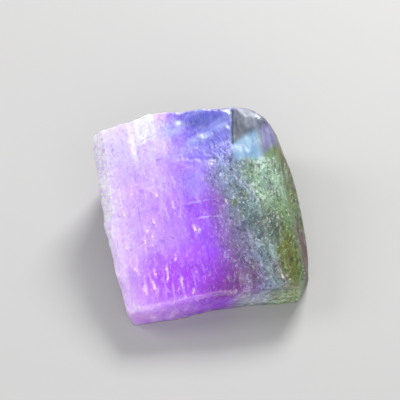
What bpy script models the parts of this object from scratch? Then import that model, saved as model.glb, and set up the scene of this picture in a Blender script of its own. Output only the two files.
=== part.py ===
"""A broken length of one elbaite prism, pink inside and green under its natural skin, lying as found.

The crystal is drawn in its own axes, in millimetres: X runs across the prism from the broken flank
to the skin, Y runs along the growth axis from the foot to the crown, and Z comes out of the broad
face. It is then turned onto the facet that it rests on.
"""

import math

import bmesh
import bpy
from mathutils import Matrix, Vector, noise

MM = 0.001
NAME = "elbaite_crystal"

# Driving sizes in millimetres, measured from a point near the middle of the broad face
FLANK = 12.4  # to the broken flank, at -X
SKIN = 13.7  # to the outermost natural face, at +X
FOOT = 11.3  # to the parting face at the foot, at -Y
CROWN = 15.4  # to the broken crown, at +Y
STAND = 9.45  # height of that point above the surface that the crystal rests on

# How the crystal lies, in degrees
TILT = 20.0  # of the broad face, towards the front
LEAN = 9.9  # of the growth axis, towards the left

# Spacing of the lines that divide the facets, in millimetres
LINE_ACROSS = 0.60
LINE_ALONG = 1.30
LINE_DEEP = 1.15
UNEVEN = 0.5  # of a spacing that a line may be out by, either way
SNAP = 0.09  # a corner this near to a line is taken onto it
SHORTEST_EDGE = 0.16
BASE_BAND = 0.03  # what lies this near to the base belongs to it

# The facets. Each has a name, a grain, a point that it passes through, the direction that it faces
# in the plane of the broad face, and its slope from that plane, both in degrees.
FACETS = (
    ("broad left", "growth", (-2.0, 0.0, 0.0), 180, 3),
    ("broad right", "growth", (3.0, 0.0, 0.0), 0, 4),
    ("broad crown", "growth", (-4.0, 9.2, 0.0), 97, 6),
    ("shoulder", "etched", (7.7, -0.8, -0.3), 10, 20),
    ("skin upper", "skin", (10.6, 0.0, -1.4), 2, 38),
    ("skin middle", "skin", (12.2, 0.0, -2.9), 1, 60),
    ("skin outer", "skin", (SKIN - 0.4, 5.0, -3.0), 8, 82),
    ("skin outer lower", "skin", (SKIN - 0.4, -4.3, -3.0), -8, 83),
    ("skin lower", "skin", (SKIN - 0.3, 0.0, -8.2), -2, 112),
    ("skin under", "skin", (SKIN - 2.2, 0.0, -11.3), 2, 138),
    ("corner upper", "fresh", (9.8, 10.9, -1.0), 42, 29),
    ("corner outer", "etched", (12.0, 9.0, -2.2), 14, 56),
    ("corner side", "break", (11.5, 13.1, -2.4), 41, 86),
    ("crown left", "break", (-9.7, CROWN - 0.5, -1.2), 105, 82),
    ("crown left middle", "break", (-5.9, CROWN + 0.15, -0.8), 100, 82),
    ("crown middle", "break", (0.0, CROWN + 0.1, -0.8), 87, 84),
    ("crown right", "break", (7.5, CROWN - 0.1, -1.2), 84, 86),
    ("crown lower", "break", (0.0, CROWN + 0.7, -6.5), 93, 109),
    ("crown lower left", "break", (-9.0, CROWN - 0.2, -8.0), 126, 104),
    ("flank bevel upper", "etched", (-10.95, 7.3, -0.45), 177, 41),
    ("flank bevel lower", "etched", (-10.8, -6.8, -0.45), 186, 40),
    ("flank upper", "break", (-FLANK, 8.0, -1.6), 178, 97),
    ("flank lower", "break", (-FLANK + 0.45, -4.5, -1.6), 185, 97),
    ("flank under", "break", (-FLANK + 1.2, 0.0, -8.6), 189, 118),
    ("foot edge", "parting", (4.5, -FOOT + 0.25, -0.2), 268, 45),
    ("foot", "parting", (0.0, -FOOT - 0.1, -2.0), 270, 84),
    ("foot left corner", "break", (-FLANK + 1.25, -FOOT + 0.2, -3.0), 226, 86),
    ("foot right corner", "break", (SKIN - 1.85, -FOOT + 0.6, -5.0), 323, 86),
)

# Chips broken out of the facets by a curved crack. Each is an ellipsoid: a name, its middle, its
# three radii, its turn about Z in degrees, and the point where its crack began.
CHIPS = (
    ("fan", (3.5, 15.2, 5.2), (21.3, 17.0, 6.0), 4, (-3.8, 9.3, 0.0)),
    ("crown hollow left", (-6.0, 26.0, -9.2), (18.6, 12.0, 15.2), 5, (-11.0, 15.0, -2.0)),
    ("crown hollow right", (8.4, 24.2, -8.8), (14.7, 10.0, 13.9), -10, (11.0, 13.0, -3.0)),
    ("flank hollow upper", (-21.4, 7.0, -8.4), (10.0, 16.0, 12.8), 2, (-12.0, 13.0, -2.0)),
    ("flank hollow lower", (-19.2, -6.6, -7.6), (8.0, 12.2, 11.6), 5, (-12.0, -10.0, -2.0)),
    ("flank nick", (-13.7, 3.0, -1.5), (1.5, 2.7, 2.6), 0, (-12.4, 3.0, -0.5)),
    ("foot hollow", (2.4, -19.3, -7.0), (18.0, 8.0, 20.0), -1, (-1.0, -11.0, 0.0)),
)

# The notch beside the fan, with a smooth flat floor: a point on the inner foot of its wall, the turn
# of its wall from the growth axis, and the slope of its floor down towards the crown, in degrees
NOTCH_CORNER = (6.05, 9.3, -0.95)
NOTCH_WALL = -10.0
NOTCH_SLOPE = 7.0

CUTTER_SIZE = 16.0
BLANK_SIZE = 60.0
CHIP_RINGS = 48


def facing(azimuth, tilt):
    """The outward direction of a facet."""
    turn, slope = math.radians(azimuth), math.radians(tilt)
    return Vector((math.sin(slope) * math.cos(turn), math.sin(slope) * math.sin(turn), math.cos(slope)))


def lie():
    """The turn from the crystal's own axes to how it lies."""
    return Matrix.Rotation(math.radians(TILT), 4, "X") @ Matrix.Rotation(math.radians(LEAN), 4, "Z")


def base_plane():
    """A point and the outward direction of the facet that the crystal rests on."""
    down = lie().inverted() @ Vector((0.0, 0.0, -1.0))
    return down * STAND, down


def planes():
    """Every flat facet as (grain, point, outward direction), with the base last."""
    cuts = [(grain, Vector(point), facing(azimuth, tilt)) for _, grain, point, azimuth, tilt in FACETS]
    return cuts + [("base", *base_plane())]


def chip_place(middle, radii, turn):
    """The matrix that makes a chip's ellipsoid from a sphere of radius 1."""
    turned = Matrix.Translation(middle) @ Matrix.Rotation(math.radians(turn), 4, "Z")
    return turned @ Matrix.Diagonal((*radii, 1.0))


def cut_away(body, point, outward):
    """Cuts off what lies beyond a plane and closes the cut with one flat face."""
    everything = body.verts[:] + body.edges[:] + body.faces[:]
    cut = bmesh.ops.bisect_plane(
        body, geom=everything, dist=1e-5, plane_co=point, plane_no=outward, clear_outer=True
    )
    rim = [item for item in cut["geom_cut"] if isinstance(item, bmesh.types.BMEdge)]
    if rim:
        bmesh.ops.contextual_create(body, geom=rim)


def faceted_blank():
    """A block with every flat facet cut on it, as an object."""
    body = bmesh.new()
    bmesh.ops.create_cube(body, size=BLANK_SIZE)
    for _, point, outward in planes():
        cut_away(body, point, outward)
    bmesh.ops.recalc_face_normals(body, faces=body.faces[:])
    return as_object(body, NAME)


def as_object(body, name):
    """Puts a bmesh in an object of the scene and frees it."""
    mesh = bpy.data.meshes.new(name)
    body.to_mesh(mesh)
    body.free()
    made = bpy.data.objects.new(name, mesh)
    bpy.context.scene.collection.objects.link(made)
    return made


def chip_cutter(name, middle, radii, turn):
    """An ellipsoid whose surface leaves a shell-like hollow."""
    body = bmesh.new()
    bmesh.ops.create_uvsphere(body, u_segments=2 * CHIP_RINGS, v_segments=CHIP_RINGS, radius=1.0)
    bmesh.ops.transform(body, matrix=chip_place(middle, radii, turn), verts=body.verts[:])
    return as_object(body, name)


def notch_cutter():
    """A block whose lower left edge is the inner line of the notch."""
    body = bmesh.new()
    bmesh.ops.create_cube(body, size=CUTTER_SIZE)
    half = CUTTER_SIZE / 2
    place = (
        Matrix.Translation(NOTCH_CORNER)
        @ Matrix.Rotation(math.radians(NOTCH_WALL), 4, "Z")
        @ Matrix.Rotation(-math.radians(NOTCH_SLOPE), 4, "X")
        @ Matrix.Translation((half, half, half))
    )
    bmesh.ops.transform(body, matrix=place, verts=body.verts[:])
    return as_object(body, "notch")


def chipped(blank):
    """The blank with its chips and its notch taken out, as a bmesh. The cutters are removed."""
    cutters = [chip_cutter(*chip[:4]) for chip in CHIPS] + [notch_cutter()]
    for cutter in cutters:
        cut = blank.modifiers.new(cutter.name, "BOOLEAN")
        cut.operation = "DIFFERENCE"
        cut.object = cutter
    graph = bpy.context.evaluated_depsgraph_get()
    body = bmesh.new()
    body.from_object(blank, graph)
    for item in cutters + [blank]:
        bpy.data.objects.remove(item)
    bmesh.ops.remove_doubles(body, verts=body.verts[:], dist=0.01)
    bmesh.ops.dissolve_limit(
        body, angle_limit=math.radians(0.5), verts=body.verts[:], edges=body.edges[:]
    )
    return body


def divide(body, along, spacing):
    """Draws lines across the surface, at right angles to one direction and a little uneven."""
    places = [v.co.dot(along) for v in body.verts]
    first = math.ceil(min(places) / spacing)
    last = math.floor(max(places) / spacing)
    for step in range(first, last + 1):
        uneven = UNEVEN * noise.noise(Vector((step * 0.7, 0.5, spacing)))
        everything = body.verts[:] + body.edges[:] + body.faces[:]
        bmesh.ops.bisect_plane(
            body,
            geom=everything,
            dist=SNAP,
            plane_co=along * ((step + uneven) * spacing),
            plane_no=along,
        )


def tidy_lines(body):
    """Takes out the very short edges that the lines leave, and makes triangles."""
    bmesh.ops.remove_doubles(body, verts=body.verts[:], dist=SHORTEST_EDGE)
    bmesh.ops.dissolve_degenerate(body, dist=SHORTEST_EDGE / 4, edges=body.edges[:])
    bmesh.ops.triangulate(body, faces=body.faces[:], quad_method="BEAUTY", ngon_method="BEAUTY")
    loose = [corner for corner in body.verts if not corner.link_faces]
    bmesh.ops.delete(body, geom=loose, context="VERTS")


def grain_of(face, cuts):
    """The grain of what a face lies on: a flat facet, one of the chips, or the notch."""
    middle = face.calc_center_median()
    for name, centre, radii, turn, _ in CHIPS:
        if abs((chip_place(centre, radii, turn).inverted() @ middle).length - 1.0) < 0.012:
            return name
    near = [
        (face.normal.dot(outward), grain)
        for grain, point, outward in cuts
        if abs((middle - point).dot(outward)) < 0.12
    ]
    best = max(near, default=(0.0, "notch"))
    return best[1] if best[0] > 0.97 else "notch"


def wave(place, *pitches):
    """Smooth noise from -1 to 1, whose waves have these lengths along X, Y and Z."""
    return noise.noise(Vector([c / p for c, p in zip(place, pitches)]))


def ramp(value, start, end):
    """0 up to the start, 1 from the end on, and a straight rise between."""
    return min(1.0, max(0.0, (value - start) / (end - start)))


def terraces(value, steps):
    """A smooth value made into flat treads with soft risers."""
    tread = math.floor(value * steps)
    share = value * steps - tread
    return (tread + share**6) / steps


def growth_relief(place):
    """Low steps along the growth axis, and etched pits and ridges on the green side."""
    steps = 0.36 * (terraces(0.5 + 0.5 * wave(place, 5.5, 21.0, 40.0), 5) - 0.5)
    etched = 0.34 * wave(place, 1.5, 3.4, 9.0) + 0.16 * wave(place, 0.9, 1.7, 9.0)
    return steps + 0.05 * wave(place, 1.7, 30.0, 9.0) + ramp(place.x, 0.0, 3.5) * etched


def chip_relief(name, start, place):
    """Ripples round the point where a crack began and, in the fan, ridges that run out from it."""
    away = place - Vector(start)
    rise = ramp(away.length, 0.5, 6.0)
    if name == "fan":
        turn = math.atan2(away.y, away.x)
        return rise * (0.16 * noise.noise(Vector((turn * 6.0, 0.0, 4.0))) + 0.05 * wave(place, 1.4, 1.6, 2.0))
    ripple = math.sin(away.length * 2 * math.pi / (2.4 + 0.12 * away.length))
    return rise * 0.10 * ripple + 0.13 * wave(place, 3.0, 3.0, 3.0) + 0.07 * wave(place, 1.3, 1.3, 1.3)


def relief(grain, place):
    """How far the surface stands out from its facet at a place, in millimetres."""
    if grain == "base":
        return 0.0
    for name, _, _, _, start in CHIPS:
        if grain == name:
            return chip_relief(name, start, place)
    lengthwise = wave(place, 1.6, 34.0, 1.6)
    if grain == "skin":
        return 0.30 * lengthwise + 0.12 * wave(place, 0.9, 20.0, 0.9) + 0.10 * wave(place, 2.2, 4.0, 2.2)
    if grain == "growth":
        return growth_relief(place)
    if grain == "etched":
        return 0.28 * wave(place, 1.5, 2.6, 1.5) + 0.14 * wave(place, 0.9, 1.6, 0.9)
    if grain == "fresh" or grain == "notch":
        return 0.05 * wave(place, 4.0, 3.4, 4.0)
    if grain == "parting":
        return 0.42 * (terraces(0.5 + 0.5 * wave(place, 5.0, 30.0, 2.6), 4) - 0.5)
    return 0.34 * wave(place, 4.0, 4.0, 3.4) + 0.20 * wave(place, 1.5, 1.5, 1.5)


def weather(body, cuts):
    """Moves each corner by the relief of the faces that meet there, and wears the sharp edges."""
    body.normal_update()
    grains = {face.index: grain_of(face, cuts) for face in body.faces}
    moves = []
    for corner in body.verts:
        met = [(grains[face.index], face.calc_area()) for face in corner.link_faces]
        if any(grain == "base" for grain, _ in met):
            continue
        height = sum(relief(grain, corner.co) * area for grain, area in met) / sum(a for _, a in met)
        sharpest = max(edge.calc_face_angle(0.0) for edge in corner.link_edges)
        if sharpest > math.radians(24):
            height -= 0.12 * sharpest * max(0.0, 0.3 + wave(corner.co, 1.3, 1.9, 1.3))
        moves.append((corner, corner.normal * height))
    for corner, move in moves:
        corner.co += move


def flatten_base(body):
    """Brings what lies at the base, or reaches below it, onto one plane."""
    point, outward = base_plane()
    for corner in body.verts:
        below = (corner.co - point).dot(outward)
        if below > -BASE_BAND:
            corner.co -= outward * below


def set_down(crystal):
    """Turns the crystal onto its base, with the middle of its outline over the origin."""
    crystal.rotation_euler = lie().to_euler()
    turned = [lie() @ v.co for v in crystal.data.vertices]
    spans = [(min(p[i] for p in turned), max(p[i] for p in turned)) for i in range(3)]
    crystal.location = (-sum(spans[0]) / 2, -sum(spans[1]) / 2, -spans[2][0])


def tourmaline():
    """The crystal's one finish. Its colour is the violet of the core."""
    material = bpy.data.materials.new("elbaite")
    material.use_nodes = True
    shader = material.node_tree.nodes["Principled BSDF"]
    shader.inputs["Base Color"].default_value = (0.46, 0.24, 0.80, 1.0)
    shader.inputs["Roughness"].default_value = 0.16
    shader.inputs["Metallic"].default_value = 0.0
    shader.inputs["IOR"].default_value = 1.63
    shader.inputs["Transmission Weight"].default_value = 0.6
    return material


def crystal():
    """The whole crystal, one solid."""
    body = chipped(faceted_blank())
    divide(body, Vector((1, 0, 0)), LINE_ACROSS)
    divide(body, Vector((0, 1, 0)), LINE_ALONG)
    divide(body, Vector((0, 0, 1)), LINE_DEEP)
    tidy_lines(body)
    weather(body, planes())
    flatten_base(body)
    bmesh.ops.scale(body, vec=(MM, MM, MM), verts=body.verts[:])
    bmesh.ops.recalc_face_normals(body, faces=body.faces[:])
    made = as_object(body, NAME)
    made.data.materials.append(tourmaline())
    set_down(made)
    return made


def main():
    for item in list(bpy.data.objects):
        bpy.data.objects.remove(item)
    made = crystal()
    parts = bpy.data.collections.new("elbaite crystal")
    bpy.context.scene.collection.children.link(parts)
    bpy.context.scene.collection.objects.unlink(made)
    parts.objects.link(made)


main()
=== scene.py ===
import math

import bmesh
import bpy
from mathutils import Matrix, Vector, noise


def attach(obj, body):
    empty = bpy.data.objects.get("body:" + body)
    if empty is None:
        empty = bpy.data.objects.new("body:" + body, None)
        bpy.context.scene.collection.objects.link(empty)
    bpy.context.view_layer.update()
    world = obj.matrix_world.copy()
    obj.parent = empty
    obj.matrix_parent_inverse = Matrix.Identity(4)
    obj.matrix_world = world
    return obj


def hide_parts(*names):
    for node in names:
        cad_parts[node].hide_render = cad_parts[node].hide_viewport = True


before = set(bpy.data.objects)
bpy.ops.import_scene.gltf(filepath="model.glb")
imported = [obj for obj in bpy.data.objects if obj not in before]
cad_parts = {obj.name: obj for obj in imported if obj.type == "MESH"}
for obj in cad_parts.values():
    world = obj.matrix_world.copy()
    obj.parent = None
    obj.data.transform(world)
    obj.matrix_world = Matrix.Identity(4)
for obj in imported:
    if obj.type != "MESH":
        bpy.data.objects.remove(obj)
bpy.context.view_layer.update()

# %% [markdown]
# A crystal of elbaite, the gem tourmaline, lies on a facet where it broke. It is pink and violet in
# its heart and green under its natural skin. The solid model already has its flat facets, chips and
# larger ledges. This script gives it what a hand lens shows: the fine striations, the frosted and the
# glassy faces, the inner colour zones, the healed cracks and the growth tubes.

# %% [markdown]
# A crystal is easiest to describe along its own axes. X runs across the prism from the broken flank
# to the green skin, Y runs along the growth axis from foot to crown, and Z comes out of the broad
# face. Blender could hold these as a rotated parent object, but then every pattern would follow that
# object. One matrix that turns places into crystal millimetres serves the mesh and the materials
# alike, so that way was chosen.

# %% The crystal's own axes
TILT = 20.0  # degrees that the broad face leans towards the front
LEAN = 9.9  # degrees that the growth axis leans to the left
HEART = Vector((-0.00009, -0.00367, 0.00945))  # middle of the broad face, in metres
MM = 0.001

lie = Matrix.Rotation(math.radians(TILT), 4, "X") @ Matrix.Rotation(math.radians(LEAN), 4, "Z")
to_world = Matrix.Translation(HEART) @ lie @ Matrix.Scale(MM, 4)
to_crystal = to_world.inverted()
print("growth axis in the world:", tuple(round(c, 3) for c in lie @ Vector((0, 1, 0))))

# %% [markdown]
# The solid model is a net of a few thousand flat triangles. Glass shows every one of them, because
# it bends light at each edge. Subdivision would keep those edges or round the real ones away. A
# voxel remesh lays an even skin of small faces over the shape, and a little smoothing takes out the
# net but leaves the crystal's own edges, worn as on the real piece.

# %% An even skin over the solid
SKIN_STEP = 0.17  # mm between the corners of the new skin
SMOOTHING_PASSES = 3

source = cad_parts["elbaite_crystal"]
crystal = bpy.data.objects.new("crystal_surface", source.data.copy())
bpy.context.scene.collection.objects.link(crystal)
crystal.data.materials.clear()


def merge_and_move(mesh, matrix, join_distance):
    """Joins the loose triangles of a mesh and moves it by a matrix."""
    body = bmesh.new()
    body.from_mesh(mesh)
    bmesh.ops.remove_doubles(body, verts=body.verts[:], dist=join_distance)
    bmesh.ops.transform(body, matrix=matrix, verts=body.verts[:])
    body.to_mesh(mesh)
    body.free()


merge_and_move(crystal.data, to_crystal, 1e-7)
skin = crystal.modifiers.new("skin", "REMESH")
skin.mode = "VOXEL"
skin.voxel_size = SKIN_STEP
smooth = crystal.modifiers.new("smooth", "SMOOTH")
smooth.factor = 0.5
smooth.iterations = SMOOTHING_PASSES


def apply_modifiers(piece):
    """Makes the result of an object's modifiers its own mesh."""
    graph = bpy.context.evaluated_depsgraph_get()
    result = bpy.data.meshes.new_from_object(piece.evaluated_get(graph))
    piece.modifiers.clear()
    piece.data = result


apply_modifiers(crystal)


SKIN_START = 9.2  # mm across, where the rounded natural skin begins
ROUNDING_PASSES = 14
ENDWISE = 0.5  # a corner that faces more than this along the growth axis is on an end


def round_skin(mesh):
    """Wears the ridges of the green skin round, and leaves the broken faces sharp."""
    body = bmesh.new()
    body.from_mesh(mesh)
    on_skin = [v for v in body.verts if v.co.x > SKIN_START and abs(v.normal.y) < ENDWISE]
    for _ in range(ROUNDING_PASSES):
        bmesh.ops.smooth_vert(
            body, verts=on_skin, factor=0.5, use_axis_x=True, use_axis_y=True, use_axis_z=True
        )
    body.to_mesh(mesh)
    body.free()


round_skin(crystal.data)
print("even skin:", len(crystal.data.vertices), "corners")

# %% [markdown]
# Tourmaline carries fine grooves along its growth axis on its natural faces. The broken faces have
# ripples and small chips instead, and the etched ones are pitted. Such relief could be a bump map
# alone, but it also shows at the outline and in the exported mesh, so the larger part of it moves the
# corners of the skin. Each kind of relief is a smooth noise stretched along its own direction.

# %% Fine relief on each kind of face
FAN_START = Vector((-3.9, 9.2, 0.0))  # where the crack of the fan-shaped chip began
OFF_GRID = Vector((3.17, 5.71, 1.43))  # the noise looks ruled in its own whole planes, so none is used


def wave(place, across, along, deep):
    """Smooth noise from -1 to 1, whose waves have these lengths in millimetres."""
    moved = place + OFF_GRID
    return noise.noise(Vector((moved.x / across, moved.y / along, moved.z / deep)))


def rise(value, start, end):
    """0 up to the start, 1 from the end on, with an even rise between."""
    return min(1.0, max(0.0, (value - start) / (end - start)))


def splinter(place, size):
    """Small flat chips, each tilted its own way, as a height from about -0.5 to 0.5."""
    _, centres = noise.voronoi(place / size)
    tilt = noise.cell_vector(centres[0] * 7.3)
    return (place / size - centres[0]).dot(tilt - Vector((0.5, 0.5, 0.5)))


def frosting(place, normal):
    """1 on the faces that broke rough: the bevel beside the broad face, the flank and the crown."""
    bevel = rise(-normal.x, 0.22, 0.5) * rise(-9.0 - place.x, 0.0, 1.0)
    bevel *= (0.12 + 0.88 * rise(normal.z, 0.1, 0.4)) * (0.2 + 0.8 * rise(place.y, -6.0, 3.0))
    crown = 0.5 * rise(normal.y, 0.45, 0.8) * rise(-place.x, -1.0, 2.0)
    return max(bevel, crown)


def etching(place, normal):
    """1 where the green side of the broad face is etched, 0 on the smooth corner of the crown."""
    start = place.x + 1.4 * wave(place, 2.6, 3.4, 2.6)
    crown = place.y + 1.2 * wave(place, 1.8, 1.8, 1.8)
    corner = rise(place.x - 0.17 * place.y, 4.2, 4.7) * rise(place.y, 6.6, 7.4)
    faces = max(rise(normal.z, 0.0, 0.5), 0.8 * rise(-normal.y, 0.5, 0.8))
    return rise(start, 0.6, 4.6) * rise(-crown, -12.0, -9.0) * (1.0 - corner) * faces


def fan_ridges(place):
    """The low rays of the fan-shaped chip, which spread from the point where its crack began."""
    from_start = place - FAN_START
    reach = from_start.length
    angle = math.atan2(from_start.y, from_start.x)
    ray = noise.fractal(Vector((angle * 5.0, reach * 0.35, 0.0)), 0.6, 2.0, 3)
    inside = rise(angle, -0.75, -0.4) * rise(-angle, -1.5, -1.2) * rise(-reach, -12.0, -9.0)
    return ray * inside * rise(reach, 0.6, 3.0) * rise(6.4 - place.x, 0.0, 0.4)


def grooves(place, normal):
    """Striations along the growth axis, stronger towards the green skin, in millimetres."""
    prism = rise(1.0 - abs(normal.y), 0.55, 0.85)
    striae = 0.026 * wave(place, 0.5, 11.0, 0.5) + 0.016 * wave(place, 0.28, 6.0, 0.28)
    return prism * striae * (0.5 + 0.7 * rise(place.x, 0.5, 4.0) + 2.0 * rise(place.x, 9.5, 12.0))


def break_ripples(place, normal):
    """Curved ripples and flat splinters of the faces that broke, in millimetres."""
    broken = rise(-normal.x, 0.6, 0.9) + rise(normal.y, 0.5, 0.9) + rise(-normal.z, 0.4, 0.9)
    ripples = 0.20 * wave(place, 2.4, 2.9, 2.2) + 0.05 * wave(place, 0.8, 1.0, 0.9)
    ripples += 0.07 * splinter(place + OFF_GRID, 1.7)
    return min(1.0, broken) * ripples * rise(11.0 - place.x, 0.0, 2.0)


def foot_steps(place, normal):
    """Low steps of the parting face, in millimetres."""
    foot = rise(-normal.y, 0.5, 0.9)
    return foot * (0.05 * wave(place, 2.2, 9.0, 0.35) + 0.07 * splinter(place, 0.9))


def crease_wear(place):
    """The uneven run of the crease between the broad face and the foot, in millimetres."""
    crease = rise(place.y, -12.2, -11.4) * rise(-place.y, 10.4, 11.0) * rise(place.z, -1.5, -0.5)
    return 0.08 * crease * wave(place, 0.9, 0.7, 0.7)


def fine_relief(place, normal):
    """How far the skin stands out at a place, in millimetres, by the way that it faces."""
    height = grooves(place, normal) + break_ripples(place, normal)
    pitted = 0.07 * wave(place, 0.9, 2.2, 0.9) + 0.06 * wave(place, 0.38, 0.7, 0.4)
    height += etching(place, normal) * pitted
    height += 0.025 * fan_ridges(place) * rise(normal.z, 0.5, 0.8)
    frosted = splinter(place, 0.75) + 0.6 * wave(place, 0.4, 0.4, 0.4)
    height += 0.10 * frosting(place, normal) * frosted
    height += foot_steps(place, normal)
    return height + crease_wear(place)


# %% [markdown]
# Broken faces are frosted, and the outer edges are painted white, partly as rubbed wear and partly as a
# painted highlight along them, and the material has to know where. It could guess that from the
# surface each time, but the export can't. So each corner of the skin carries three values, for
# frosting, etching and wear with its painted edge highlight, worked out from the way that the skin
# faces and bends before the fine relief is added.

# %% Carving, and what each corner carries
def sharpness(corner):
    """How far a corner stands out from its neighbours, in steps of the skin."""
    around = [edge.other_vert(corner).co for edge in corner.link_edges]
    return (corner.co - sum(around, Vector()) / len(around)).dot(corner.normal) / SKIN_STEP


def near_outline(place):
    """1 close to the crystal's outer edges, 0 in the middle of its faces."""
    return max(rise(abs(place.x), 8.0, 9.0), rise(place.y, 11.0, 12.0)) * rise(place.y, -10.6, -10.0)


def carve(mesh):
    """Moves each corner along its normal by the fine relief and marks what it is.

    The result is the greatest height of the relief, in millimetres.
    """
    body = bmesh.new()
    body.from_mesh(mesh)
    body.normal_update()
    frost = body.verts.layers.float.new("frost")
    etched = body.verts.layers.float.new("etched")
    wear_and_sheen = body.verts.layers.float.new("wear_and_sheen")
    moves = []
    tallest = 0.0
    for corner in body.verts:
        corner[frost] = frosting(corner.co, corner.normal)
        corner[etched] = etching(corner.co, corner.normal)
        # sharp outer edges: partly rubbed wear, partly a painted highlight
        corner[wear_and_sheen] = rise(sharpness(corner), 0.04, 0.14) * near_outline(corner.co)
        height = fine_relief(corner.co, corner.normal)
        tallest = max(tallest, abs(height))
        moves.append(corner.normal * height)
    for corner, move in zip(body.verts, moves):
        corner.co += move
    body.to_mesh(mesh)
    body.free()
    return tallest


print("greatest relief, mm:", round(carve(crystal.data), 3))

# %% [markdown]
# The crystal rests on one flat facet, so the relief must not reach below it. A Boolean with a big
# block would cut it level. Pressing the lowest corners onto the plane does the same with no new
# faces, and it is the simpler way.

# %% Back to metres, level at the base
BASE_BAND = 0.03 * MM  # what lies this near to the base belongs to it

merge_and_move(crystal.data, to_world, 1e-9)
body = bmesh.new()
body.from_mesh(crystal.data)
for corner in body.verts:
    if corner.co.z < BASE_BAND:
        corner.co.z = 0.0
bmesh.ops.recalc_face_normals(body, faces=body.faces[:])
for face in body.faces:
    face.smooth = True
body.to_mesh(crystal.data)
body.free()
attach(crystal, "root")
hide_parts("elbaite_crystal")
print("crystal surface:", 2 * len(crystal.data.polygons), "triangles")

# %% [markdown]
# The colour of a tourmaline is laid down in zones as it grows, so it depends on the place inside the
# crystal and not on the face that one looks at. An image could hold it, but it would slide over the
# chips. Here a Mapping node turns each place into crystal millimetres, and the colour is worked out
# from those. The helpers below keep the node code short.

# %% Helpers that add nodes
elbaite = bpy.data.materials.new("elbaite")
elbaite.use_nodes = True
tree = elbaite.node_tree
tree.nodes.clear()


def put(socket, value):
    """Links a socket to another node's output, or sets it to a plain value."""
    if isinstance(value, bpy.types.NodeSocket):
        tree.links.new(value, socket)
    else:
        socket.default_value = value


def math_node(operation, first, second=0.0):
    """One sum, and its result."""
    node = tree.nodes.new("ShaderNodeMath")
    node.operation = operation
    put(node.inputs[0], first)
    put(node.inputs[1], second)
    return node.outputs[0]


def add(first, *others):
    """The sum of all that it is given."""
    for other in others:
        first = math_node("ADD", first, other)
    return first


def times(first, *others):
    """The product of all that it is given."""
    for other in others:
        first = math_node("MULTIPLY", first, other)
    return first


def vector_math(operation, first, second):
    """A sum of two places or directions."""
    node = tree.nodes.new("ShaderNodeVectorMath")
    node.operation = operation
    put(node.inputs[0], first)
    put(node.inputs[1], second)
    return node.outputs["Vector"]


def blend_in(value, start, end):
    """0 where a value is before the start, 1 past the end, and a smooth change between."""
    node = tree.nodes.new("ShaderNodeMapRange")
    node.interpolation_type = "SMOOTHSTEP"
    put(node.inputs["Value"], value)
    rising = start < end
    node.inputs["From Min"].default_value = start if rising else end
    node.inputs["From Max"].default_value = end if rising else start
    node.inputs["To Min"].default_value = 0.0 if rising else 1.0
    node.inputs["To Max"].default_value = 1.0 if rising else 0.0
    return node.outputs["Result"]


def over(below, share, colour, how="MIX"):
    """A colour laid over another by a share from 0 to 1. It can also be added or multiplied."""
    node = tree.nodes.new("ShaderNodeMix")
    node.data_type = "RGBA"
    node.blend_type = how
    factor, under, upper = node.inputs[0], node.inputs[6], node.inputs[7]
    put(factor, share)
    put(under, (*below, 1.0) if isinstance(below, tuple) else below)
    put(upper, (*colour, 1.0) if isinstance(colour, tuple) else colour)
    return node.outputs[2]


def noise_node(vector, scale, detail, roughness):
    """A cloudy noise. Its scale is in waves to a millimetre."""
    node = tree.nodes.new("ShaderNodeTexNoise")
    put(node.inputs["Vector"], vector)
    node.inputs["Scale"].default_value = scale
    node.inputs["Detail"].default_value = detail
    node.inputs["Roughness"].default_value = roughness
    return node


def grain(vector, scale, detail=3.0, roughness=0.55):
    """The height of a cloudy noise, from 0 to 1."""
    return noise_node(vector, scale, detail, roughness).outputs["Fac"]


def mapped(vector, location=(0, 0, 0), rotation=(0, 0, 0), scale=(1, 1, 1), kind="POINT"):
    """A place moved, turned and stretched."""
    node = tree.nodes.new("ShaderNodeMapping")
    node.vector_type = kind
    put(node.inputs["Vector"], vector)
    node.inputs["Location"].default_value = location
    node.inputs["Rotation"].default_value = rotation
    node.inputs["Scale"].default_value = scale
    return node.outputs[0]


def shaken(vector, amount, scale):
    """A place moved a little to and fro, so that an edge drawn by it isn't ruled."""
    push = vector_math("SUBTRACT", noise_node(vector, scale, 3.0, 0.6).outputs["Color"], (0.5,) * 3)
    return vector_math("ADD", vector, vector_math("MULTIPLY", push, (amount,) * 3))


# %% [markdown]
# Most patterns start from a place in crystal millimetres, and an edge that grew is seldom ruled. So
# the place is also shaken by noise: a lot for the crown and the foot, less for the patches, and a
# little for the growth zones and the thin cracks. A patch or a crack is an oval mask. It could be
# worked out with sums from the place, but a Mapping node and a round gradient need fewer nodes.

# %% Places in crystal millimetres
coordinates = tree.nodes.new("ShaderNodeTexCoord").outputs["Object"]
turn = to_crystal.to_3x3().normalized()
place = mapped(coordinates, to_crystal.translation, turn.to_euler(), (1 / MM,) * 3)
loose = shaken(place, 3.2, 0.35)
uneven = shaken(place, 1.3, 0.6)
close = shaken(place, 0.5, 1.6)


def parts_of(vector):
    """How far a place lies across, along and out of the broad face."""
    split = tree.nodes.new("ShaderNodeSeparateXYZ")
    put(split.inputs[0], vector)
    return split.outputs


across, along, _ = parts_of(close)
wavy_across, wavy_along, wavy_deep = parts_of(loose)

DEPTH = 3.5  # mm to which a patch reaches below the broad face
BALL = 1.5  # size of the round gradient that a patch is made from, in half-widths of the patch


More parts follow.
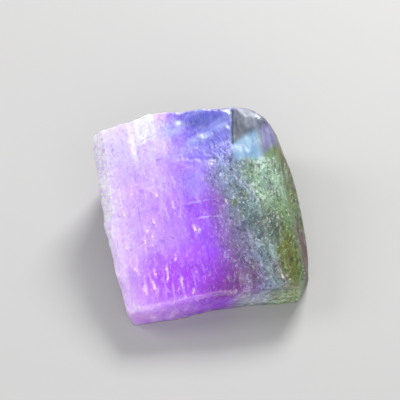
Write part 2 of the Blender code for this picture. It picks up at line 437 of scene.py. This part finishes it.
def spot(x, y, width, length, lean=0.0, soft=0.7, vector=None):
    """1 inside a long oval on the broad face and 0 outside. It leans by degrees to the left."""
    oval = mapped(
        uneven if vector is None else vector,
        (x, y, 0.0),
        (0.0, 0.0, math.radians(lean)),
        (BALL * width / 2, BALL * length / 2, BALL * DEPTH),
        "TEXTURE",
    )
    ball = tree.nodes.new("ShaderNodeTexGradient")
    ball.gradient_type = "SPHERICAL"
    put(ball.inputs["Vector"], oval)
    return blend_in(ball.outputs["Fac"], 1.0 - (1.0 + soft / 2) / BALL, 1.0 - (1.0 - soft) / BALL)


print("places:", len(tree.nodes), "nodes")

# %% [markdown]
# From the broken flank to the skin the colour runs from a pale pink lilac through violet to a greyed
# blue, then green, olive and a thin brown rim. A ramp of colours is the plain way to say that. In
# the green part the zones lean, because the skin grew outwards as the crystal lengthened, so the
# ramp reads the distance across with a little of the distance along.

# %% The growth zones
ZONES = (  # distance across in mm, and the colour there
    (-13.0, (0.78, 0.66, 0.97)),
    (-10.0, (0.72, 0.50, 0.97)),
    (-6.0, (0.61, 0.33, 0.95)),
    (-2.4, (0.52, 0.22, 0.95)),
    (-1.4, (0.42, 0.11, 0.94)),
    (0.8, (0.36, 0.07, 0.86)),
    (2.8, (0.26, 0.09, 0.50)),
    (4.2, (0.17, 0.18, 0.36)),
    (5.8, (0.14, 0.21, 0.28)),
    (7.4, (0.18, 0.28, 0.27)),
    (8.8, (0.22, 0.36, 0.20)),
    (11.0, (0.17, 0.30, 0.10)),
    (13.2, (0.14, 0.22, 0.06)),
    (15.5, (0.16, 0.12, 0.06)),
)
lean = times(along, 0.17, blend_in(across, 2.0, 6.0))
zone = add(across, times(math_node("SUBTRACT", grain(place, 0.28, 4.0), 0.5), 1.6), lean)
ramp = tree.nodes.new("ShaderNodeValToRGB")
low, high = ZONES[0][0], ZONES[-1][0]
put(ramp.inputs[0], math_node("DIVIDE", math_node("SUBTRACT", zone, low), high - low))
stops = ramp.color_ramp.elements
while len(stops) < len(ZONES):
    stops.new(0.5)
for stop, (distance, paint) in zip(stops, ZONES):
    stop.position = (distance - low) / (high - low)
    stop.color = (*paint, 1.0)
colour = ramp.outputs[0]
print("growth zones:", len(ZONES))

# %% [markdown]
# Along its length the crystal changes too. The crown is milky on the pink side and a clear blue in
# the middle, and the foot is a deeper purple. Each of these is a soft mask, made as the product of
# blends, and a colour laid over the zones by it.

# %% The crown and the foot
milky = times(blend_in(wavy_along, 4.0, 12.5), blend_in(wavy_across, 0.8, -5.0))
colour = over(colour, times(milky, blend_in(wavy_deep, -9.0, -1.0)), (0.68, 0.59, 0.88))
wide_across = parts_of(shaken(place, 7.0, 0.22))[0]
blue_side = times(blend_in(wide_across, -4.0, 2.4), blend_in(wide_across, 9.4, 5.0))
colour = over(colour, times(blend_in(wavy_along, 5.0, 9.5), blue_side, 0.9), (0.21, 0.19, 0.80))
near_front = blend_in(wavy_deep, -8.0, -2.0)
deep_blue = times(blend_in(wavy_along, 10.5, 14.0), blue_side, near_front)
colour = over(colour, deep_blue, (0.12, 0.135, 0.54))
purple = times(blend_in(wavy_along, -4.0, -10.5), blend_in(wavy_across, -4.0, 0.5))
colour = over(colour, times(purple, blend_in(wavy_across, 6.2, 3.6), 0.9), (0.17, 0.0, 0.25))
print("with the crown and foot:", len(tree.nodes), "nodes")

# %% [markdown]
# The rest of the colour is in patches, some soft and deep, some with clear edges on one facet. They
# are ovals, each with its place, size and lean on the broad face. A slight shake of the coordinates
# gives every edge the uneven run that a grown thing has.

# %% Patches on the broad face
PATCHES = (  # place across and along, width, length, lean, softness, share, colour
    (-4.6, -7.8, 12.0, 8.6, 0, 0.9, 0.9, (0.43, 0.02, 0.90)),  # deeper violet low on the pink side
    (-5.0, 5.6, 4.2, 5.0, 0, 0.9, 0.5, (0.72, 0.58, 0.96)),  # paler pink under the milky cloud
    (0.2, 4.8, 6.0, 5.0, 0, 0.9, 0.8, (0.44, 0.34, 0.92)),  # paler and bluer above the long crack
    (-0.6, 9.4, 5.0, 2.6, 20, 0.9, 0.85, (0.36, 0.20, 0.95)),  # violet beside the fan's start
    (-1.6, 13.0, 3.6, 3.0, 0, 0.9, 0.85, (0.50, 0.54, 0.92)),  # pale blue left of the fan
    (-0.6, 13.8, 0.9, 1.0, 0, 0.8, 0.9, (0.80, 0.96, 0.84)),  # its brightest speck, faintly yellow
    (4.2, 5.4, 4.4, 5.4, 0, 0.9, 0.7, (0.21, 0.30, 0.50)),  # etched, grey blue
    (6.4, -0.4, 2.6, 6.2, 4, 0.8, 0.95, (0.05, 0.13, 0.15)),  # teal pocket
    (4.8, 1.1, 1.3, 1.2, 0, 0.6, 0.8, (0.09, 0.13, 0.03)),  # a window into the green
    (4.4, -4.4, 3.6, 5.6, 0, 0.9, 0.7, (0.16, 0.09, 0.26)),  # grey mauve
    (5.2, -9.0, 4.8, 3.6, 80, 0.9, 0.85, (0.14, 0.02, 0.17)),  # mauve foot
    (9.6, 4.4, 4.8, 7.0, 8, 0.9, 0.85, (0.22, 0.38, 0.29)),  # pale sea green
    (11.4, 4.2, 2.4, 8.4, -4, 0.8, 0.85, (0.40, 0.60, 0.40)),  # brighter green by the edge
    (13.0, 2.6, 2.2, 9.0, -6, 0.8, 0.85, (0.36, 0.50, 0.17)),  # yellow green on the skin
    (9.2, 7.2, 3.6, 2.4, 0, 0.8, 0.85, (0.31, 0.46, 0.37)),  # pale green under the broken corner
    (9.2, -2.8, 4.4, 6.0, 0, 0.9, 0.9, (0.035, 0.06, 0.035)),  # moss green
    (10.6, -7.0, 3.4, 9.4, -6, 0.6, 0.95, (0.125, 0.14, 0.0)),  # olive
    (11.4, -6.6, 0.6, 9.0, -8, 0.7, 0.8, (0.03, 0.045, 0.0)),  # its dark line
    (8.6, -8.6, 3.0, 4.0, 0, 0.9, 0.6, (0.12, 0.09, 0.10)),  # grey brown beside it
    (6.3, 2.0, 0.7, 2.2, 22, 0.8, 0.8, (0.04, 0.06, 0.06)),  # dark crevices of the etched part
    (7.5, -2.2, 0.7, 3.2, 12, 0.8, 0.7, (0.04, 0.07, 0.06)),
    (8.4, 0.8, 0.6, 2.6, 24, 0.8, 0.7, (0.05, 0.09, 0.07)),
    (5.2, -2.0, 0.6, 2.2, 6, 0.8, 0.6, (0.07, 0.05, 0.12)),
    (8.2, -5.6, 0.8, 4.6, 4, 0.8, 0.6, (0.30, 0.40, 0.38)),  # pale seams beside them
    (6.0, -4.0, 0.6, 4.4, 6, 0.8, 0.5, (0.34, 0.32, 0.46)),
    (10.6, -11.1, 5.4, 0.8, 0, 0.9, 0.7, (0.16, 0.08, 0.05)),  # brown crease
)
for x, y, width, length, slope, soft, share, paint in PATCHES:
    colour = over(colour, times(spot(x, y, width, length, slope, soft), share), paint)
brown_rim = times(
    blend_in(across, 11.7, 12.6), blend_in(wavy_along, 0.0, -4.0), blend_in(wavy_deep, -9.0, -4.0)
)
colour = over(colour, brown_rim, (0.13, 0.045, 0.03))
print("patches:", len(PATCHES))

# %% [markdown]
# A corner of the crown broke off clean. It left a clear window, a turquoise facet beside it and a
# violet one at the outer corner, with straight edges between them. Straight edges are blends with a
# very short run, read from the coordinates without the shake.

# %% The broken corner
plain_across, plain_along, plain_deep = parts_of(shaken(place, 0.7, 1.1))
right_of_notch = blend_in(add(plain_across, times(plain_along, -0.17)), 4.3, 4.6)
corner_facets = times(right_of_notch, blend_in(plain_along, 6.4, 7.8), blend_in(wavy_deep, -6.0, -2.5))
window = times(corner_facets, blend_in(add(plain_along, times(plain_across, -0.48)), 6.3, 7.3))
turquoise = times(corner_facets, blend_in(plain_across, 10.3, 9.3))
violet = times(corner_facets, blend_in(plain_across, 9.4, 10.4))
violet = times(violet, blend_in(add(plain_along, times(plain_across, -0.75)), -0.4, 1.2))
colour = over(colour, turquoise, (0.22, 0.42, 0.62))
colour = over(colour, times(violet, 0.85), (0.24, 0.22, 0.50))
outwards = add(plain_across, times(plain_along, 0.6))
grey = over((0.05, 0.065, 0.11), blend_in(outwards, 15.0, 18.6), (0.14, 0.17, 0.23))
colour = over(colour, times(window, 0.95), grey)
print("with the broken corner:", len(tree.nodes), "nodes")

# %% [markdown]
# The parting face at the foot looks paler than the broad face above it, because light leaves the
# crystal there. It is lilac at the left, and green with a milky stretch at the right.

# %% The foot band
foot_band = blend_in(plain_along, -11.05, -11.55)
foot_paint = over((0.66, 0.26, 1.00), blend_in(plain_across, -7.0, 0.5), (0.46, 0.08, 0.95))
foot_paint = over(foot_paint, blend_in(plain_across, 1.0, 4.0), (0.50, 0.52, 0.66))
foot_paint = over(foot_paint, blend_in(plain_across, 6.0, 8.5), (0.30, 0.44, 0.12))
colour = over(colour, times(foot_band, 0.85), foot_paint)
print("with the foot band:", len(tree.nodes), "nodes")

# %% [markdown]
# A crack spread from one point and left a fan of low ridges. Polar coordinates around that point
# make it: noise that changes fast with the angle and slowly with the distance gives straight rays.

# %% The fan of the crack
fan_across = math_node("SUBTRACT", plain_across, FAN_START.x)
fan_along = math_node("SUBTRACT", plain_along, FAN_START.y)
angle = math_node("ARCTAN2", fan_along, fan_across)
reach = math_node("SQRT", add(times(fan_across, fan_across), times(fan_along, fan_along)))
polar = tree.nodes.new("ShaderNodeCombineXYZ")
put(polar.inputs[0], times(angle, 12.0))
put(polar.inputs[1], times(reach, 0.16))
rays = grain(polar.outputs[0], 1.0, 5.0, 0.6)
in_fan = times(blend_in(angle, -0.75, -0.4), blend_in(angle, 1.5, 1.2), blend_in(reach, 11.5, 9.0))
in_fan = times(in_fan, blend_in(plain_deep, -2.5, -1.0), blend_in(plain_across, 6.4, 5.9))
bright_rays = times(in_fan, blend_in(rays, 0.48, 0.72), blend_in(reach, 1.0, 3.5))
colour = over(colour, times(bright_rays, blend_in(angle, 0.0, 0.4), 0.35), (0.45, 0.52, 0.95))
long_ray = times(spot(2.4, 11.2, 1.7, 9.4, -61, 0.9), blend_in(rays, 0.2, 0.6))
colour = over(colour, times(long_ray, 0.8), (0.42, 0.50, 0.92))
print("with the fan:", len(tree.nodes), "nodes")

# %% [markdown]
# Inside the crown lies a milky cloud with one clear lower edge, and beside it a milky streak. They
# are healed cracks, full of tiny bubbles that scatter white light.

# %% Milky cloud and streaks
cloud = times(blend_in(plain_across, -6.8, -6.3), blend_in(plain_across, -3.5, -4.0))
cloud = times(cloud, blend_in(add(plain_along, times(plain_across, -0.38)), 13.3, 13.7))
cloud = times(cloud, blend_in(wavy_deep, -4.0, -1.0))
colour = over(colour, times(cloud, 0.8), (0.78, 0.82, 0.92))
long_grain = grain(mapped(place, scale=(1.0, 0.16, 1.0)), 1.9, 5.0, 0.7)
streaky = times(blend_in(long_grain, 0.52, 0.68), blend_in(across, -1.0, -3.0))
colour = over(colour, times(streaky, 0.4), (0.88, 0.78, 1.0))
dark_streaks = times(blend_in(long_grain, 0.45, 0.32), blend_in(across, 8.0, 2.0))
colour = over(colour, times(dark_streaks, 0.22), (0.48, 0.22, 0.92))
colour = over(colour, times(spot(-7.1, 11.6, 0.9, 7.4, 0, 0.8, close), 0.9), (0.90, 0.87, 0.97))
print("with the cloud and streaks:", len(tree.nodes), "nodes")

# %% [markdown]
# Thin lines show where cracks reach the surface: light ones that catch the sun, and dark ones in
# shadow. Short bright dashes along the growth axis are growth tubes, hollow needles left as the
# crystal grew; their brightness is a painted reflection from the tube walls. Both are the same ovals
# as above, only very long.

# %% Cracks and growth tubes
LIGHT_CRACKS = (  # place across and along, width, length, lean
    (-3.1, 11.6, 0.34, 6.4, -14),
    (0.1, 1.95, 0.24, 5.4, -92),
    (0.8, -0.40, 0.24, 5.6, -93),
    (-5.4, 8.9, 0.24, 3.6, -86),
    (-8.9, -0.3, 0.24, 2.6, -84),
    (5.9, 4.0, 0.34, 6.5, 31),
    (7.3, 2.4, 0.28, 5.0, 27),
    (4.9, 6.6, 0.28, 3.4, 40),
)
DARK_CRACKS = (
    (-7.75, 1.3, 0.20, 6.2, 2),
    (2.8, 9.05, 0.22, 2.6, -88),
    (3.0, 6.9, 0.18, 2.2, -80),
    (-3.4, 4.9, 0.18, 2.6, 50),
    (-4.9, 12.2, 0.20, 3.4, -70),
    (-7.6, -2.3, 0.16, 2.0, -85),
    (-1.9, -2.2, 0.18, 5.0, 3),
    (-1.2, -6.5, 0.16, 3.0, 2),
    (-4.0, -7.2, 0.16, 2.0, 0),
)
TUBES = (  # place across and along, and length
    (-6.0, 0.1, 0.9), (-6.5, -1.9, 1.5), (-7.2, -0.6, 1.0), (-7.6, -2.5, 2.0), (-4.1, -5.0, 0.9),
    (-5.4, -6.3, 0.9), (-5.5, -7.4, 1.2), (-3.8, -8.4, 1.2), (-7.4, -8.3, 1.6), (-8.6, -8.7, 1.2),
    (-9.4, -5.6, 0.7), (-1.0, -1.7, 1.0), (-0.4, -1.9, 0.8), (-5.1, 3.8, 0.6), (-8.3, 4.3, 0.8),
    (-9.6, 1.9, 0.8), (3.8, 1.3, 0.7), (-7.0, -6.6, 1.0), (-2.6, -9.9, 0.6), (9.0, -9.8, 0.6),
)


def lines(rows):
    """1 on any of some long thin ovals, and 0 elsewhere."""
    mask = 0.0
    for x, y, width, length, slope in rows:
        mask = math_node("MAXIMUM", mask, spot(x, y, width, length, slope, 0.8, close))
    return mask


broken_up = blend_in(grain(place, 1.4, 3.0), 0.40, 0.58)
light_lines = lines(LIGHT_CRACKS)
colour = over(colour, times(light_lines, add(0.3, broken_up), 0.5), (0.66, 0.60, 1.0))
colour = over(colour, times(lines(DARK_CRACKS), 0.5), (0.30, 0.16, 0.60))
tube_reflections = lines((x, y, 0.40, 1.3 * length, 12.0 * math.sin(5.0 * x)) for x, y, length in TUBES)
tube_reflections = times(tube_reflections, blend_in(grain(mapped(place, (2.0, 8.0, 1.0)), 3.4, 3.0), 0.40, 0.52))
# the growth tubes painted bright: a painted reflection from their walls
colour = over(colour, tube_reflections, (1.0, 0.78, 0.74))
print("cracks:", len(LIGHT_CRACKS) + len(DARK_CRACKS), "and growth tubes:", len(TUBES))

# %% [markdown]
# Between the larger cracks runs a net of finer ones, pale in the pink part and dark in the green.
# They could be drawn one by one, as above, but the edges between Voronoi cells already make such a
# net. Bent and stretched noise, cut to its highest parts, gives the short dark splits.

# %% The net of fine inner cracks
net = tree.nodes.new("ShaderNodeTexVoronoi")
net.feature = "DISTANCE_TO_EDGE"
net.inputs["Scale"].default_value = 0.42
crooked = mapped(shaken(place, 1.6, 0.8), (2.0, 6.0, 0.4), (0.3, 0.2, 0.5), (1.0, 0.6, 1.0))
put(net.inputs["Vector"], crooked)
net_lines = times(blend_in(net.outputs["Distance"], 0.035, 0.008), broken_up)
colour = over(colour, times(net_lines, blend_in(across, 3.0, 0.0), 0.7), (0.14, 0.16, 0.05), "ADD")
colour = over(colour, times(net_lines, blend_in(across, -1.0, 2.0), 0.6), (0.35, 0.38, 0.45), "MULTIPLY")
bent = mapped(shaken(place, 0.8, 1.2), (7.0, 3.0, 1.7), (0.0, 0.4, -0.6), (0.35, 1.0, 0.5))
splits = blend_in(grain(bent, 1.3, 2.0), 0.655, 0.69)
colour = over(colour, times(splits, blend_in(across, -9.0, -5.0), 0.5), (0.55, 0.42, 0.80), "MULTIPLY")
print("with the net of cracks:", len(tree.nodes), "nodes")

# %% [markdown]
# The flank and the back show the crystal's depth, where veils of tiny bubbles hang as paler and
# darker clouds. The photograph hides most of those sides, so the veils are a guess. One stretched
# noise, used for its low parts and its high parts, makes both kinds.

# %% Veils in the depth
veils = grain(mapped(loose, (3.0, 1.0, 8.0), (0.0, 0.5, 0.3), (0.9, 0.3, 0.6)), 0.75, 4.0, 0.6)
below = blend_in(wavy_deep, -1.0, -4.0)
colour = over(colour, times(below, blend_in(veils, 0.50, 0.34), 0.8), (0.62, 0.42, 0.84), "MULTIPLY")
pale_veils = times(below, blend_in(veils, 0.52, 0.66), blend_in(wavy_across, 1.0, -3.0))
colour = over(colour, times(pale_veils, 0.7), (0.84, 0.76, 0.99))
print("with the veils:", len(tree.nodes), "nodes")

# %% [markdown]
# The green side is etched: pitted all over, with bright and dark specks a quarter of a millimetre
# wide. Cells would make round grains, all of one size. Noise that is cut off above a height makes
# ragged ones, so it gives the colour of the specks. The pink side has fainter ones. Coarser noise,
# stretched along the crystal, breaks up the even colour on both sides.

# %% Specks of the etched part and of the pink side
def carried(name):
    """A value that the corners of the skin carry."""
    node = tree.nodes.new("ShaderNodeAttribute")
    node.attribute_name = name
    return node.outputs["Fac"]


frost, etched, wear_and_sheen = carried("frost"), carried("etched"), carried("wear_and_sheen")
grainy = mapped(place, scale=(1.0, 0.62, 1.0))
fine = grain(grainy, 3.2, 4.0, 0.7)
light_specks = times(etched, blend_in(fine, 0.54, 0.66))
pit_shade = grain(mapped(grainy, (3.1, 7.7, 1.9)), 2.6, 4.0, 0.7)
dark_specks = times(etched, blend_in(pit_shade, 0.50, 0.66))
colour = over(colour, light_specks, (0.20, 0.27, 0.26), "ADD")
colour = over(colour, dark_specks, (0.16, 0.20, 0.20), "MULTIPLY")
strands = grain(mapped(place, (1.0, 4.0, 2.0), scale=(1.0, 0.32, 1.0)), 0.9, 5.0, 0.7)
colour = over(colour, times(etched, blend_in(strands, 0.50, 0.68)), (0.10, 0.15, 0.15), "ADD")
colour = over(colour, times(etched, blend_in(strands, 0.46, 0.32)), (0.45, 0.50, 0.50), "MULTIPLY")
pink_side = blend_in(wavy_across, 4.5, 1.5)
colour = over(colour, times(pink_side, blend_in(fine, 0.54, 0.68)), (0.16, 0.20, 0.05), "ADD")
colour = over(colour, times(pink_side, blend_in(fine, 0.46, 0.32)), (0.74, 0.52, 0.94), "MULTIPLY")
mottle = grain(mapped(place, (5.0, 1.0, 2.0), scale=(1.0, 0.45, 1.0)), 1.1, 5.0, 0.65)
colour = over(colour, times(blend_in(mottle, 0.52, 0.74), 0.8), (0.12, 0.14, 0.04), "ADD")
colour = over(colour, times(blend_in(mottle, 0.48, 0.28), 0.8), (0.78, 0.66, 0.93), "MULTIPLY")
# painted glints: small bright highlights on the highest points of a fine noise in the etched part
glints = blend_in(grain(mapped(place, (4.0, 7.0, 4.0)), 4.5, 2.0), 0.64, 0.70)
colour = over(colour, times(etched, glints), (0.42, 0.46, 0.42), "ADD")
olive = spot(10.9, -6.8, 3.6, 9.4, -6, 0.6)
colour = over(colour, olive, (0.84, 0.84, 0.08), "MULTIPLY")
print("with the specks:", len(tree.nodes), "nodes")

# %% [markdown]
# A face that broke rough is a crust of tiny facets, and it looks white, as crushed ice does. The
# bevel at the left, the foot and the worn edges have such crumbs; the white of the worn edges is
# partly a painted highlight. One noise is read for all of them, so that a crumb keeps its place
# where two of these kinds meet.

# %% Frost and crumbs
crumbs = grain(mapped(place, (9.0, 2.0, 5.0)), 1.7, 6.0, 0.8)
foot_crumbs = times(foot_band, blend_in(plain_across, 1.0, 4.0), blend_in(crumbs, 0.48, 0.60))
colour = over(colour, times(foot_crumbs, 0.8), (0.78, 0.86, 0.74))
white = times(frost, blend_in(wavy_along, -3.0, 4.0))
beside_bevel = times(
    blend_in(wavy_across, -8.6, -11.2), blend_in(wavy_along, -4.0, 3.0), blend_in(crumbs, 0.48, 0.60)
)
colour = over(colour, times(beside_bevel, 0.6), (0.90, 0.88, 1.0))
colour = over(colour, times(frost, 0.5), (0.68, 0.50, 0.98))
colour = over(colour, times(white, add(0.20, blend_in(crumbs, 0.46, 0.56))), (0.92, 0.94, 1.0))
colour = over(colour, times(frost, blend_in(crumbs, 0.44, 0.32), 0.7), (0.66, 0.58, 0.90), "MULTIPLY")
# painted highlight on the sharp outer edges, partly rubbed wear as well
colour = over(colour, times(wear_and_sheen, blend_in(crumbs, 0.40, 0.60), 0.4), (0.86, 0.86, 0.98))
print("with the frost and crumbs:", len(tree.nodes), "nodes")

# %% [markdown]
# The gloss tells the kinds of face apart. The broad face is silky, the broken corner like glass,
# and the bevel frosted. Fine bumps carry the grain that is too small for the mesh.

# %% Gloss and fine bumps
def cells(vector, scale):
    """Distance to the nearest of scattered points, in cells."""
    node = tree.nodes.new("ShaderNodeTexVoronoi")
    put(node.inputs["Vector"], vector)
    node.inputs["Scale"].default_value = scale
    return node.outputs["Distance"]


roughness = add(0.24, times(grain(grainy, 1.6, 3.0), 0.14), times(etched, 0.05))
roughness = add(roughness, times(frost, 0.16), times(foot_band, 0.14))
roughness = add(roughness, times(window, -0.04), times(turquoise, 0.16))
silk = times(grain(mapped(place, scale=(1.0, 0.30, 1.0)), 3.0, 5.0, 0.7), 0.050)
pits = times(etched, cells(grainy, 3.0), 0.060)
pits = add(pits, times(etched, fine, 0.090))
crust = times(frost, crumbs, 0.38)
height = add(silk, pits, crust)
print("with the gloss and bumps:", len(tree.nodes), "nodes")

# %% [markdown]
# Tourmaline is see-through, but this piece is so full of cracks and tubes that light also scatters
# in it. Half of the light passes as through clear glass with tourmaline's own refraction, and most
# of the rest scatters under the surface, red and blue light the farthest. The volume takes out a
# little green on the way, so thick parts are slightly deeper in colour than thin ones.

# %% The shader
REFRACTION = 1.63  # elbaite's index
PASSES_CLEAR = 0.5
SCATTERS = 0.8
SCATTER_DEPTH = 5.0 * MM
SCATTER_RADIUS = (1.0, 0.6, 1.0)
MURK_COLOUR = (0.86, 0.76, 0.90, 1.0)
MURK_DENSITY = 10.0

shader = tree.nodes.new("ShaderNodeBsdfPrincipled")
shader.inputs["IOR"].default_value = REFRACTION
shader.inputs["Transmission Weight"].default_value = PASSES_CLEAR
shader.inputs["Subsurface Weight"].default_value = SCATTERS
shader.inputs["Subsurface Radius"].default_value = SCATTER_RADIUS
shader.inputs["Subsurface Scale"].default_value = SCATTER_DEPTH
put(shader.inputs["Roughness"], roughness)
put(shader.inputs["Base Color"], colour)
bump = tree.nodes.new("ShaderNodeBump")
bump.inputs["Strength"].default_value = 1.0
bump.inputs["Distance"].default_value = MM
put(bump.inputs["Height"], height)
put(shader.inputs["Normal"], bump.outputs[0])
murk = tree.nodes.new("ShaderNodeVolumeAbsorption")
murk.inputs["Color"].default_value = MURK_COLOUR
murk.inputs["Density"].default_value = MURK_DENSITY
output = tree.nodes.new("ShaderNodeOutputMaterial")
put(output.inputs["Surface"], shader.outputs[0])
put(output.inputs["Volume"], murk.outputs[0])
crystal.data.materials.append(elbaite)
print("elbaite:", len(tree.nodes), "nodes")

# %% [markdown]
# The crystal is shown on a plain pale floor. One big flat square is enough, because nothing of the
# floor but its colour and the shadow on it is seen.

# %% The floor
FLOOR_REACH = 3.0  # metres from its middle to each side
PAPER_COLOUR = (0.28, 0.275, 0.27, 1.0)
PAPER_ROUGHNESS = 0.7

floor_body = bmesh.new()
bmesh.ops.create_grid(floor_body, x_segments=1, y_segments=1, size=FLOOR_REACH)
floor_mesh = bpy.data.meshes.new("floor")
floor_body.to_mesh(floor_mesh)
floor_body.free()
floor = bpy.data.objects.new("floor", floor_mesh)
bpy.context.scene.collection.objects.link(floor)
paper = bpy.data.materials.new("pale floor")
paper.use_nodes = True
paper_shader = paper.node_tree.nodes["Principled BSDF"]
paper_shader.inputs["Base Color"].default_value = PAPER_COLOUR
paper_shader.inputs["Roughness"].default_value = PAPER_ROUGHNESS
floor_mesh.materials.append(paper)
print("floor, metres:", [round(side, 2) for side in floor.dimensions])

# %% [markdown]
# One light stands behind and above, as in the photograph. It shines through the crystal, so that
# its heart glows. A weak one at the left reaches the bevel, and a wide soft one in front keeps the
# foot readable. Spot lamps would do too, but squares of light give softer shadows.

# %% The lights
SKY_COLOUR = (0.92, 0.95, 1.0, 1.0)
SKY_STRENGTH = 0.55
LIGHTS = (  # name, place and size in metres, power in watts
    ("back light", (0.10, 0.26, 0.26), 0.14, 2.15),
    ("left light", (-0.28, 0.02, 0.22), 0.16, 0.75),
    ("front fill", (0.03, -0.42, 0.24), 0.60, 3.3),
)

world = bpy.data.worlds.new("studio")
bpy.context.scene.world = world
world.use_nodes = True
sky = world.node_tree.nodes["Background"]
sky.inputs["Color"].default_value = SKY_COLOUR
sky.inputs["Strength"].default_value = SKY_STRENGTH


def soft_light(name, place, size, power):
    """A square light that faces the crystal."""
    lamp = bpy.data.lights.new(name, "AREA")
    lamp.size = size
    lamp.energy = power
    holder = bpy.data.objects.new(name, lamp)
    holder.location = place
    holder.rotation_euler = (HEART - Vector(place)).to_track_quat("-Z", "Y").to_euler()
    bpy.context.scene.collection.objects.link(holder)


for light in LIGHTS:
    soft_light(*light)
print("lights:", ", ".join(light[0] for light in LIGHTS))

# %% [markdown]
# The camera looks down from the front, about five crystal lengths away. Its lens is worked out from
# the width that the picture should take in at the crystal, which is easier to judge than a focal
# length.

# %% The camera
SENSOR = 36.0  # mm
FRAME_WIDTH = 0.052  # metres across the picture at the crystal
CAMERA_DISTANCE = 0.150
ELEVATION = 50.0  # degrees above the floor
BELOW_MIDDLE = 0.0020  # metres that the heart lies below the middle of the picture
elevation = math.radians(ELEVATION)
to_camera = Vector((0.0, -math.cos(elevation), math.sin(elevation)))
picture_up = Vector((0.0, math.sin(elevation), math.cos(elevation)))
lens = bpy.data.cameras.new("camera")
lens.sensor_width = SENSOR
lens.lens = SENSOR * CAMERA_DISTANCE / FRAME_WIDTH
lens.clip_start = 0.005  # metres
camera = bpy.data.objects.new("camera", lens)
camera.location = HEART + to_camera * CAMERA_DISTANCE
aim = HEART + picture_up * BELOW_MIDDLE
camera.rotation_euler = (aim - camera.location).to_track_quat("-Z", "Y").to_euler()
bpy.context.scene.collection.objects.link(camera)
bpy.context.scene.camera = camera
bpy.context.scene.view_settings.view_transform = "Standard"
print("camera:", round(lens.lens, 1), "mm lens at", tuple(round(c, 3) for c in camera.location))
